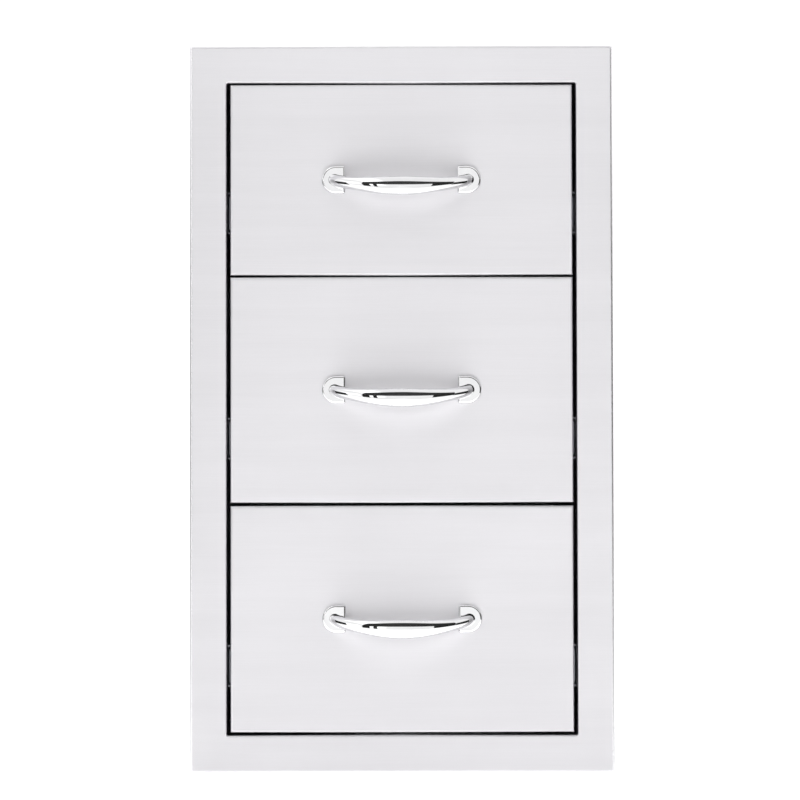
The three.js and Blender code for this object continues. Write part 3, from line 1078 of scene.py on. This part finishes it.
@dataclass
class BowHandle:
    """A chrome bow that swells to its middle, hangs down a little and stands on two D-shaped feet."""

    shop: Workshop
    level: Level
    half_span: float = 68.5 * MM
    rise: float = 34 * MM
    droop: float = math.radians(15.5)
    lean: float = math.radians(-1.0)
    bow_power: float = 1.4
    swell_power: float = 5.5
    end_half_height: float = 6.3 * MM
    mid_half_height: float = 9.6 * MM
    end_half_depth: float = 6.2 * MM
    mid_half_depth: float = 5.9 * MM
    foot_radius: float = 14.3 * MM
    foot_inset: float = 1.5 * MM
    foot_tail: float = 9.7 * MM
    foot_thickness: float = 3 * MM
    foot_round: float = 2.4 * MM
    foot_corner: float = 2 * MM
    least_corner: float = 0.2 * MM
    sunk: float = 0.6 * MM
    stations: int = 96
    sides: int = 48

    def bar(self, form: Form) -> None:
        """Adds the bow, as oval rings along its arch.

        Args:
            form: The form that it joins.
        """
        out = Vector((0, -math.cos(self.droop), -math.sin(self.droop)))
        facing = Vector((0, -math.cos(self.lean), -math.sin(self.lean)))
        up = Vector((0, -math.sin(self.lean), math.cos(self.lean)))
        across = Vector((1, 0, 0))
        rings = []
        for station in range(self.stations + 1):
            angle = math.pi * station / self.stations
            sine = max(math.sin(angle), 0.0)
            centre = across * (self.half_span * math.cos(angle)) + out * (self.rise * sine**self.bow_power)
            climb = self.bow_power * self.rise * math.cos(angle)
            run = self.half_span * sine ** (2 - self.bow_power)
            tangent = Vector((-run, climb)).normalized()
            swell = sine**self.swell_power
            half_height = self.end_half_height + (self.mid_half_height - self.end_half_height) * swell
            half_depth = self.end_half_depth + (self.mid_half_depth - self.end_half_depth) * swell
            inward = across * -tangent.y + facing * tangent.x
            ring = []
            for turn in turns(self.sides):
                point = centre + inward * (half_depth * math.cos(turn)) + up * (half_height * math.sin(turn))
                point.y = min(point.y, -self.sunk)
                ring.append(point)
            rings.append(ring)
        form.loft(rings)

    def foot_outline(self, inset: float) -> list[Pair]:
        """The right foot's outline.

        Args:
            inset: How far it is drawn in.

        Returns:
            Its points in X and Z.
        """
        centre = self.half_span - self.foot_inset
        radius = self.foot_radius - inset
        cut = centre - self.foot_tail + inset
        corner = max(self.foot_corner - inset, self.least_corner)
        upper = arc((cut + corner, radius - corner), corner, 90, 180, steps=6)
        lower = arc((cut + corner, corner - radius), corner, 180, 270, steps=6)
        return [*arc((centre, 0), radius, -90, 90, steps=40), *upper, *lower]

    def foot(self, form: Form, side: Side) -> None:
        """Adds a foot, rounded at its front edge.

        Args:
            form: The form that it joins.
            side: Which foot it is.
        """
        centre = (self.foot_round, self.foot_round - self.foot_thickness)
        rim = arc(centre, self.foot_round, 180, 270, steps=8)
        rings = []
        for inset, y in [(0.0, 0.0), *rim]:
            rings.append([Vector((side.value * x, y, z)) for x, z in self.foot_outline(inset)])
        form.loft(rings)

    def build(self) -> None:
        """Makes the handle."""
        node = self.level.named("handle")
        low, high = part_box(node)
        skin_low, skin_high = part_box(self.level.named("front_skin"))
        form = Form()
        self.bar(form)
        for side in Side:
            self.foot(form, side)
        shift = Vector(((low.x + high.x) / 2, high.y, (skin_low.z + skin_high.z) / 2))
        mesh = form.moved(shift).mesh(node)
        body = self.level.named("drawer")
        self.shop.place(f"{node}_bow", mesh, self.shop.finishes.chrome, body, Slot.CHROME, [node])


@dataclass(frozen=True)
class CrossScrew:
    """A screw with a low domed head and a cross recess, its head facing along Y in its own mesh."""

    name: str
    shank_radius: float
    shank_length: float
    head_radius: float
    head_height: float
    dome_angles: tuple[float, ...] = (0, 15, 30, 45, 60, 75, 86)
    recess_reach: float = 0.55
    recess_width: float = 0.11
    recess_floor: float = 0.35
    recess_top: float = 1.5
    recess_taper: float = 0.6
    sides: int = 24

    def mesh(self) -> bpy.types.Mesh:
        """Makes the screw.

        Returns:
            Its mesh, with the head's seat at the origin.
        """
        dome = [
            (self.head_radius * math.cos(math.radians(a)), self.head_height * math.sin(math.radians(a)))
            for a in self.dome_angles
        ]
        profile = [(self.shank_radius, -self.shank_length), (self.shank_radius, 0.0), *dome]
        form = Form().lathe(profile, self.sides, Vector())
        recess = Form()
        reach, width = self.recess_reach * self.head_radius, self.recess_width * self.head_radius
        floor, top = self.recess_floor * self.head_height, self.recess_top * self.head_height
        for long, wide in ((reach, width), (width, reach)):
            corners = [(long, wide), (-long, wide), (-long, -wide), (long, -wide)]
            tapers = ((self.recess_taper, floor), (1.0, top))
            recess.loft([[Vector((share * x, y, share * z)) for x, z in corners] for share, y in tapers])
        return drilled(form.mesh(self.name), recess)


@dataclass
class Runner:
    """One full-extension ball-bearing runner: three rails, two ball cages, a stop and its screws.

    The hooks and grooves are arcs about a row of balls, given by the degrees where they start or end. The
    tilt is how many degrees the line from row to row leans from the upright.
    """

    shop: Workshop
    level: Level
    side: Side
    rail_sheet: float = 1.2 * MM
    rail_corner: float = 1.2 * MM
    ball_radius: float = 1.8 * MM
    ball_clearance: float = 0.3 * MM
    outer_standoff: float = 2 * MM
    inner_standoff: float = 4.5 * MM
    row_tilt: float = 34
    cabinet_hook: Pair = (20, 150)
    carrier_hook_start: float = 40
    carrier_groove_end: float = 240
    drawer_groove: Pair = (215, 300)
    cage_sheet: float = 0.6 * MM
    cage_clearance: float = 0.4 * MM
    cage_corner: float = 0.8 * MM
    cage_overhang: float = 1.7 * MM
    balls_per_row: int = 13
    pocket_ease: float = 1.06
    pocket_sides: int = 12
    hole_radius: float = 2.4 * MM
    access_radius: float = 5 * MM
    hole_shares: tuple[float, ...] = (0.08, 0.45, 0.9)
    slot_shares: tuple[float, ...] = (0.2, 0.33, 0.62, 0.76)
    slot_radius: float = 2 * MM
    slot_length: float = 11 * MM
    stop_bevel: float = 0.6 * MM
    stop_corner: float = 1.6 * MM
    race_steps: int = 10
    corner_steps: int = 5
    wall: float = field(init=False)
    middle: float = field(init=False)
    start: float = field(init=False)
    cabinet_length: float = field(init=False)
    length: float = field(init=False)
    race: float = field(init=False)
    carrier_web: float = field(init=False)
    outer_cage_web: float = field(init=False)
    inner_cage_web: float = field(init=False)
    outer: Pair = field(init=False)
    inner: Pair = field(init=False)
    depth: float = field(init=False)

    def __post_init__(self) -> None:
        """Works out the section from the CAD rails and the sizes above."""
        low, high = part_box(self.node("cabinet_rail"))
        inner_low, inner_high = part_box(self.node("drawer_rail"))
        self.wall = max(abs(low.x), abs(high.x))
        self.middle = (low.z + high.z) / 2
        self.start = low.y
        self.cabinet_length = high.y - low.y
        self.length = inner_high.y - inner_low.y
        self.race = self.ball_radius + self.ball_clearance + self.rail_sheet / 2
        # The cabinet rail's web and half the carrier's, with the outer cage's web and its gaps between them.
        self.carrier_web = 1.5 * self.rail_sheet + 2 * self.cage_clearance + self.cage_sheet
        spacing = (self.rail_sheet + self.cage_sheet) / 2 + self.cage_clearance
        self.outer_cage_web = self.carrier_web - spacing
        self.inner_cage_web = self.carrier_web + spacing
        row_height = (high.z - low.z - self.rail_sheet) / 2 - self.race
        self.outer = (self.carrier_web + self.outer_standoff, row_height)
        tilt, step = math.radians(self.row_tilt), 2 * self.race
        self.inner = (self.outer[0] + step * math.sin(tilt), row_height - step * math.cos(tilt))
        self.depth = self.inner[0] + self.inner_standoff

    def node(self, kind: str) -> str:
        """The CAD node's name of a piece of this runner."""
        return self.level.named(f"{self.side.word}_{kind}")

    def x(self, offset: float) -> float:
        """The X at an offset from the box's wall."""
        return self.side.value * (self.wall - offset)

    def outline(self, path: Sequence[Pair], sheet: float) -> list[Pair]:
        """The outline in X and Z of a sheet along pairs of offset from the wall and height."""
        return [(self.x(offset), self.middle + rise) for offset, rise in sheet_outline(path, sheet)]

    def corner(self, web: float, top: float, radius: float, end: float = 180) -> list[Pair]:
        """The round from a section's top edge to its web, which lies at 180 degrees or at 0."""
        inwards = radius if end else -radius
        return arc((web + inwards, top - radius), radius, 90, end, self.corner_steps)

    def cabinet_path(self) -> list[Pair]:
        """The middle surface of the cabinet rail's section.

        Returns:
            The path.
        """
        hook = arc(self.outer, self.race, *self.cabinet_hook, self.race_steps)
        corner = self.corner(self.rail_sheet / 2, hook[-1][1], self.rail_corner)
        return mirrored_down([*hook, *corner])

    def carrier_path(self) -> list[Pair]:
        """The middle surface of the carrier rail's section.

        Returns:
            The path.
        """
        meeting = 90 + self.row_tilt
        hook = arc(self.inner, self.race, self.carrier_hook_start, meeting, self.race_steps)
        groove = arc(self.outer, self.race, meeting + 180, self.carrier_groove_end, self.race_steps)
        end, height = groove[-1]
        shoulder = (self.carrier_web, height - (end - self.carrier_web))
        return mirrored_down([*hook, *groove[1:], shoulder])

    def drawer_path(self) -> list[Pair]:
        """The middle surface of the drawer rail's section.

        Returns:
            The path.
        """
        groove = arc(self.inner, self.race, *self.drawer_groove, self.race_steps)
        corner = self.corner(self.depth - self.rail_sheet / 2, groove[-1][1], self.rail_corner, end=0)
        return mirrored_down([*groove, *corner])

    def cage_path(self, row: Pair, web: float) -> list[Pair]:
        """The middle surface of a ball cage's section, from its upper row of balls and its web."""
        corner = self.corner(web, row[1], self.cage_corner)
        return mirrored_down([(row[0] + self.cage_overhang, row[1]), *corner])

    def rail(self, kind: str, path: list[Pair], length: float, radius: float, body: str) -> None:
        """Makes a rail with its holes and slots.

        Args:
            kind: The rail's kind, as its node has it.
            path: Its section's middle surface.
            length: Its length.
            radius: The radius of its round holes.
            body: The CAD body that it rides on.
        """
        node = self.node(kind)
        outline = self.outline(path, self.rail_sheet)
        mesh = Form().along_y(outline, (self.start, self.start + length)).mesh(node)
        drill = Form()
        span = sorted((self.x(-self.rail_sheet), self.x(self.depth + self.rail_sheet)))
        for share in self.hole_shares:
            place = (self.start + share * self.length, self.middle)
            drill.along_x(round_hole(place, radius), span)
        for share in self.slot_shares:
            place = (self.start + share * self.length, self.middle)
            drill.along_x(slot_hole(place, self.slot_radius, self.slot_length), span)
        finish = self.shop.finishes.zinc
        self.shop.place(f"{node}_section", drilled(mesh, drill), finish, body, Slot.RAIL, [node])

    def cage(self, kind: str, row: Pair, web: float, body: str) -> None:
        """Makes a ball cage and its balls.

        Args:
            kind: The cage's kind, as its node has it.
            row: The place of its upper row of balls.
            web: The offset of its web.
            body: The CAD body that it rides on.
        """
        node = self.node(kind)
        low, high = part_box(node)
        outline = self.outline(self.cage_path(row, web), self.cage_sheet)
        strip = Form().along_y(outline, (low.y, high.y)).mesh(node)
        pitch = (high.y - low.y) / self.balls_per_row
        balls, pockets = Form(), Form()
        for i in range(self.balls_per_row):
            y = low.y + (i + 0.5) * pitch
            for edge in (-1, 1):
                centre = Vector((self.x(row[0]), y, self.middle + edge * row[1]))
                balls.ball(centre, self.ball_radius)
                pockets.ball(centre, self.pocket_ease * self.ball_radius, self.pocket_sides)
        finishes = self.shop.finishes
        self.shop.place(f"{node}_strip", drilled(strip, pockets), finishes.strip, body, Slot.CAGE, [node])
        self.shop.place(f"{node}_balls", balls.mesh(f"{node}_balls"), finishes.ball, body, Slot.CAGE)

    def stop(self) -> None:
        """Makes the rubber stop in the rear end of the cabinet rail."""
        node = self.node("rail_stop")
        low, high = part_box(node)
        centre, size = (low + high) / 2, (high - low) / 2
        bevel = self.stop_bevel
        profile = [(bevel, low.y), (0.0, low.y + bevel), (0.0, high.y - bevel), (bevel, high.y)]
        rings = []
        for inset, y in profile:
            ring = rectangle(size.x - inset, size.z - inset, self.stop_corner, steps=6)
            rings.append([Vector((centre.x + a, y, centre.z + b)) for a, b in ring])
        mesh = Form().loft(rings).mesh(node)
        self.shop.place(f"{node}_pad", mesh, self.shop.finishes.rubber, "box", Slot.RUBBER, [node])

    def screws(self, screw: bpy.types.Mesh) -> None:
        """Adds the screws that hold the drawer rail to the tray.

        Args:
            screw: The screw's mesh, its head facing along Y.
        """
        for i, share in enumerate(self.hole_shares):
            at = Vector((self.x(self.depth - self.rail_sheet), self.start + share * self.length, self.middle))
            name = f"{self.node('drawer_rail')}_screw_{i + 1}"
            body = self.level.named("drawer")
            piece = self.shop.place(name, screw, self.shop.finishes.screw, body, Slot.SCREW, at=at)
            piece.rotation_euler.z = -self.side.value * math.pi / 2

    def build(self) -> None:
        """Makes the whole runner but for its screws."""
        carriers, drawer = self.level.named("carriers"), self.level.named("drawer")
        self.rail("cabinet_rail", self.cabinet_path(), self.cabinet_length, self.hole_radius, "box")
        self.rail("carrier_rail", self.carrier_path(), self.length, self.access_radius, carriers)
        self.rail("drawer_rail", self.drawer_path(), self.length, self.hole_radius, drawer)
        self.cage("outer_ball_cage", self.outer, self.outer_cage_web, self.level.named("outer_cages"))
        self.cage("inner_ball_cage", self.inner, self.inner_cage_web, self.level.named("inner_cages"))
        self.stop()


@dataclass
class Fasteners:
    """The screws that show: two behind each handle and three in each drawer rail."""

    shop: Workshop
    handle_screw: CrossScrew = CrossScrew(
        "handle_screw",
        shank_radius=2 * MM,
        shank_length=27.5 * MM,
        head_radius=4 * MM,
        head_height=2.2 * MM,
    )
    rail_screw: CrossScrew = CrossScrew(
        "rail_screw",
        shank_radius=1.9 * MM,
        shank_length=2.2 * MM,
        head_radius=3.4 * MM,
        head_height=1.4 * MM,
    )

    def build(self, runners: Sequence[Runner]) -> None:
        """Makes every screw.

        Args:
            runners: The runners that need their screws.
        """
        mesh = self.handle_screw.mesh()
        finish = self.shop.finishes.screw
        for level in Level:
            body = level.named("drawer")
            for side in Side:
                node = level.named(f"{side.word}_handle_screw")
                low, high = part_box(node)
                seat = high.y - self.handle_screw.head_height
                at = Vector(((low.x + high.x) / 2, seat, (low.z + high.z) / 2))
                self.shop.place(f"{node}_cross", mesh, finish, body, Slot.SCREW, [node], at)
        rail_mesh = self.rail_screw.mesh()
        for runner in runners:
            runner.screws(rail_mesh)


# Studio


@dataclass
class Studio:
    """The white room, its lights and the camera.

    The shelf's edges are pairs of distance ahead of the face and height, the turns are degrees to the side,
    and the boards are pairs of X and reach ahead of the face. The other pairs are where a smooth step starts
    and ends: metres on the floor, and parts of a direction in the sky.
    """

    view_width: float = 0.81494
    distance: float = 3.15
    aim_x: float = -1.7 * MM
    aim_z: float = 8.2 * MM
    pitch: float = math.radians(1.7)
    roll: float = math.radians(-0.12)
    sensor: float = 36.0
    floor_size: float = 24.0
    floor_drop: float = 0.5 * MM
    floor_light: float = 1.42
    floor_base: float = 0.24
    glow_foot: Pair = (-0.06, 0.04)
    glow_front: Pair = (0.18, 0.65)
    glow_foot_share: float = 0.48
    glow_middle: float = 0.05
    glow_sides: Pair = (0.2, 0.6)
    fade: Pair = (1.1, 1.6)
    fade_loss: float = 0.9
    sky_light: float = 1.12
    top_loss: float = 0.06
    top_height: Pair = (0.35, 0.6)
    top_front: Pair = (0.1, 0.4)
    key_light: float = 0.55
    key_start: Pair = (0.25, 0.36)
    key_end: Pair = (0.54, 0.66)
    glint_light: float = 0.45
    glint_start: Pair = (0.7, 0.72)
    glint_end: Pair = (0.91, 0.93)
    glint_foot: Pair = (0.02, 0.04)
    glint_top: Pair = (0.4, 0.42)
    glint_front: Pair = (0.0, 0.1)
    shelf_near: Pair = (0.55, 0.61)
    shelf_far: Pair = (2.3, 0.62)
    shelf_turns: Pair = (-44.5, 64.5)
    post_distance: float = 2.6
    post_turns: tuple[Pair, ...] = ((-44.5, -35.2), (-31.0, -26.5), (34.5, 64.5))
    boards: tuple[Pair, ...] = ((-1.6, 0.65), (1.6, 0.75))
    board_end: float = -0.61
    board_top: float = 0.41
    face: float = field(init=False)
    ground: float = field(init=False)

    def __post_init__(self) -> None:
        """Takes the unit's face and the floor's height from the model."""
        self.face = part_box("face_frame")[0].y
        self.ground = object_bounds()[0].z - self.floor_drop

    def stage(self, name: str, corners: Sequence[Place], finish: Finish) -> bpy.types.Object:
        """Makes a staged mesh of separate four-cornered faces.

        Args:
            name: The name of the mesh and of its object.
            corners: The faces' corners, four after four.
            finish: Its finish.

        Returns:
            The object.
        """
        mesh = bpy.data.meshes.new(name)
        mesh.from_pydata(corners, [], [tuple(range(i, i + 4)) for i in range(0, len(corners), 4)])
        mesh.materials.append(finish.material())
        staged = bpy.data.objects.new(name, mesh)
        bpy.context.scene.collection.objects.link(staged)
        staged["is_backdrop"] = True
        return staged

    def floor(self) -> None:
        """Makes the pale floor, which glows as painted light, most of all in front of the unit."""
        half = self.floor_size / 2
        signs = ((1, 1), (-1, 1), (-1, -1), (1, -1))
        corners = [(a * half, b * half, self.ground) for a, b in signs]
        # The paper glows as painted light, a pool strongest in front of the unit that lights the metal from
        # below.
        paper = Cloth(
            "glowing_floor_paper",
            dark=(0.84, 0.84, 0.84),
            light=(0.88, 0.88, 0.88),
            cells=3.0,
            light_strength=self.floor_light,
            share=self.glow,
        )
        self.stage("floor", corners, paper)

    def glow(self, shader: Shader) -> Value:
        """How much each place on the floor glows, most of all in front of the unit: a painted pool of light
        that lights the unit from below.

        Args:
            shader: The floor's tree.

        Returns:
            The share of the floor's light.
        """
        x, y, _ = shader.axes()
        ahead = -y
        front = ahead.rise(*self.glow_foot).mixed(ahead.rise(*self.glow_front), self.glow_foot_share)
        front = front * (1.0 - abs(x - self.glow_middle).rise(*self.glow_sides))
        share = self.floor_base + front * (1.0 - self.floor_base)
        return share * (1.0 - ahead.rise(*self.fade) * self.fade_loss)

    def stand(self, turn: float, ahead: float, height: float) -> Place:
        """The place at an angle in degrees to the side, a distance ahead of the face and a height."""
        return (ahead * math.tan(math.radians(turn)), self.face - ahead, height)

    def post_edge(self, turn: float) -> tuple[Place, Place]:
        """One upright edge of a post, which reaches up to the shelf.

        Args:
            turn: Its angle in degrees to the side.

        Returns:
            Its foot and its top.
        """
        ahead = self.post_distance * math.cos(math.radians(turn))
        (near, near_height), (far, far_height) = self.shelf_near, self.shelf_far
        drop = (ahead - near) / (far - near)
        height = near_height + (far_height - near_height) * drop
        return self.stand(turn, ahead, self.ground), self.stand(turn, ahead, height)

    def flag(self) -> None:
        """Makes the dark shelf, posts and side boards that the metal mirrors, out of the camera's sight:
        painted dark reflections, which cast no shadow and block no diffuse light.
        """
        first, last = self.shelf_turns
        corners = [self.stand(first, *self.shelf_near), self.stand(last, *self.shelf_near)]
        corners += [self.stand(last, *self.shelf_far), self.stand(first, *self.shelf_far)]
        for one, other in self.post_turns:
            (foot, top), (other_foot, other_top) = self.post_edge(one), self.post_edge(other)
            corners += [foot, other_foot, other_top, top]
        for x, ahead in self.boards:
            start, end = self.face - ahead, self.face - self.board_end
            corners += [(x, y, self.ground) for y in (start, end)]
            corners += [(x, y, self.board_top) for y in (end, start)]
        felt = Cloth("dark_reflection_felt", dark=(0.004, 0.004, 0.004), light=(0.01, 0.01, 0.01), cells=8.0)
        flag = self.stage("flag", corners, felt)
        # Seen only in reflections: a painted dark reflection, with no shadow and no part in diffuse light.
        flag.visible_camera = False
        flag.visible_diffuse = False
        flag.visible_shadow = False

    def sky(self) -> None:
        """Makes the white surroundings, with a wide light and a small one on the left."""
        world = bpy.data.worlds.new("studio")
        world.use_nodes = True
        bpy.context.scene.world = world
        shader = Shader(world.node_tree)
        x, y, z = shader.axes("Generated")
        forward, left = -y, -x
        key = left.between(self.key_start, self.key_end)
        glint = left.between(self.glint_start, self.glint_end) * z.between(self.glint_foot, self.glint_top)
        glint = glint * forward.rise(*self.glint_front)
        above = z.rise(*self.top_height) * forward.rise(*self.top_front)
        light = self.sky_light * (1.0 - above * self.top_loss)
        light = light + key * self.key_light + glint * self.glint_light
        white = (1.0, 1.0, 1.0, 1.0)
        background = shader.node("ShaderNodeBackground", inputs={"Color": white, "Strength": light})
        shader.node("ShaderNodeOutputWorld", inputs={"Surface": background.outputs[0]})

    def camera(self) -> None:
        """Makes the camera at the photograph's viewpoint, a little below the middle and looking up."""
        data = bpy.data.cameras.new("camera")
        data.sensor_width = self.sensor
        data.lens = self.sensor * self.distance / self.view_width
        camera = bpy.data.objects.new("camera", data)
        aim = Vector((self.aim_x, self.face, self.aim_z))
        look = Vector((0.0, math.cos(self.pitch), math.sin(self.pitch)))
        camera.location = aim - look * self.distance
        turn = look.to_track_quat("-Z", "Y") @ Quaternion((0.0, 0.0, 1.0), self.roll)
        camera.rotation_euler = turn.to_euler()
        bpy.context.scene.collection.objects.link(camera)
        bpy.context.scene.camera = camera

    def build(self) -> None:
        """Sets the stage."""
        self.floor()
        self.flag()
        self.sky()
        self.camera()
        bpy.context.scene.view_settings.view_transform = "Standard"


def main() -> None:
    """Builds the unit piece by piece."""
    logging.basicConfig(level=logging.INFO, format="%(name)s: %(message)s")
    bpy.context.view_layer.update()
    Studio().build()
    shop = Workshop(Finishes())
    FaceFrame(shop).build()
    Carcass(shop).build()
    runners = []
    for level in Level:
        DrawerFront(shop, level).build()
        Tray(shop, level).build()
        BowHandle(shop, level).build()
        for side in Side:
            runner = Runner(shop, level, side)
            runner.build()
            runners.append(runner)
    Fasteners(shop).build(runners)


if __name__ == "__main__":
    main()
